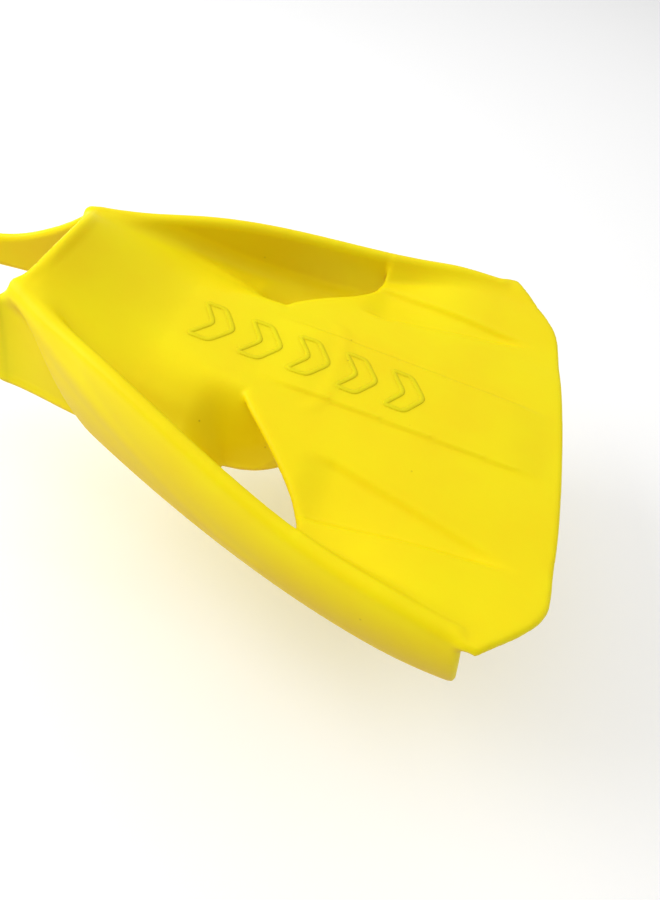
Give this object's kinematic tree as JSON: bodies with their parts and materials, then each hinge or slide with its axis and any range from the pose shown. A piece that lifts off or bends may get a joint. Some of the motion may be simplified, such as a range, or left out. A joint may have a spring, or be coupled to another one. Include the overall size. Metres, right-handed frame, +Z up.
{
  "type": "short training swim fin",
  "caption": "Short training swim fin in soft silicone: vented foot pocket, tall side rails, wide scooped blade and an open-heel band.",
  "frame": {"origin": "on the ground under the middle of the fin's overall length and width", "axes": "+X from the heel to the blade tip, +Y to the wearer's left, +Z up from the ground the rails and footbed rest on"},
  "size_m": [0.32, 0.196, 0.0504],
  "materials": {
    "silicone": "satin, mould-fresh"
  },
  "bodies": {
    "foot_pocket": {"sole": "silicone", "toe_cap": "silicone", "left_side_wall": "silicone", "right_side_wall": "silicone", "instep": "silicone", "instep_rim": "silicone", "left_gusset": "silicone", "right_gusset": "silicone", "left_rail": "silicone", "right_rail": "silicone", "left_shoulder": "silicone", "right_shoulder": "silicone"},
    "blade": {"blade_plate": "silicone", "centre_panel": "silicone", "left_rib": "silicone", "right_rib": "silicone", "left_blade_rail": "silicone", "right_blade_rail": "silicone"},
    "heel_strap": {"left_strap_arm": "silicone", "right_strap_arm": "silicone", "heel_band": "silicone"}
  },
  "joints": [
    {"name": "blade_flex", "type": "hinge", "parent": "foot_pocket", "child": "blade", "pos_m": [0.072, 0, 0.024], "axis": [0, 1, 0], "range_deg": [-30, 30], "stiffness_Nm_per_rad": 4},
    {"name": "strap_swing", "type": "hinge", "parent": "foot_pocket", "child": "heel_strap", "pos_m": [-0.056, 0, 0.019], "axis": [0, 1, 0], "range_deg": [-30, 40], "stiffness_Nm_per_rad": 0.8}
  ]
}
